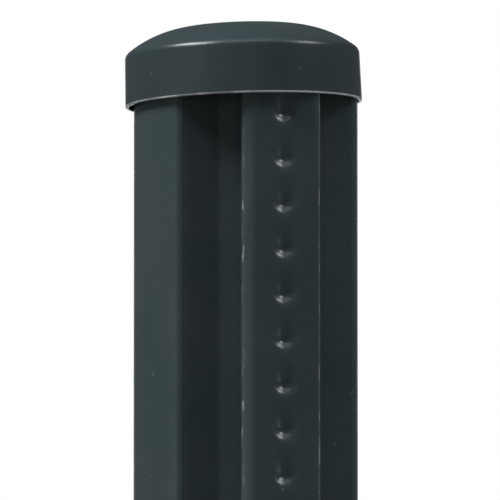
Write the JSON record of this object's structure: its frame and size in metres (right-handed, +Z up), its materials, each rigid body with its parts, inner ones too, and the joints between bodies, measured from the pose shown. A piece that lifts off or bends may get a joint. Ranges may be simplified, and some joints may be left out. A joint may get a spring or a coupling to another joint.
{
  "type": "fence post",
  "caption": "Round folded steel fence post with a dimpled clip rail standing in a recess and a domed plastic cap pushed over its top end.",
  "frame": {"origin": "on the axis of the round shaft, level with the cut end at its foot", "axes": "+Z up along the shaft to the cap, -Y out of the clip rail's face, +X to the right of someone who faces the rail"},
  "size_m": [0.0509, 0.0508, 1.5096],
  "materials": {
    "post": "anthracite powder coat, satin, with a faint orange peel",
    "cap": "moulded plastic in the post's colour, satin to glossy"
  },
  "bodies": {
    "root": {"post": "post", "cap": "cap"}
  },
  "joints": []
}
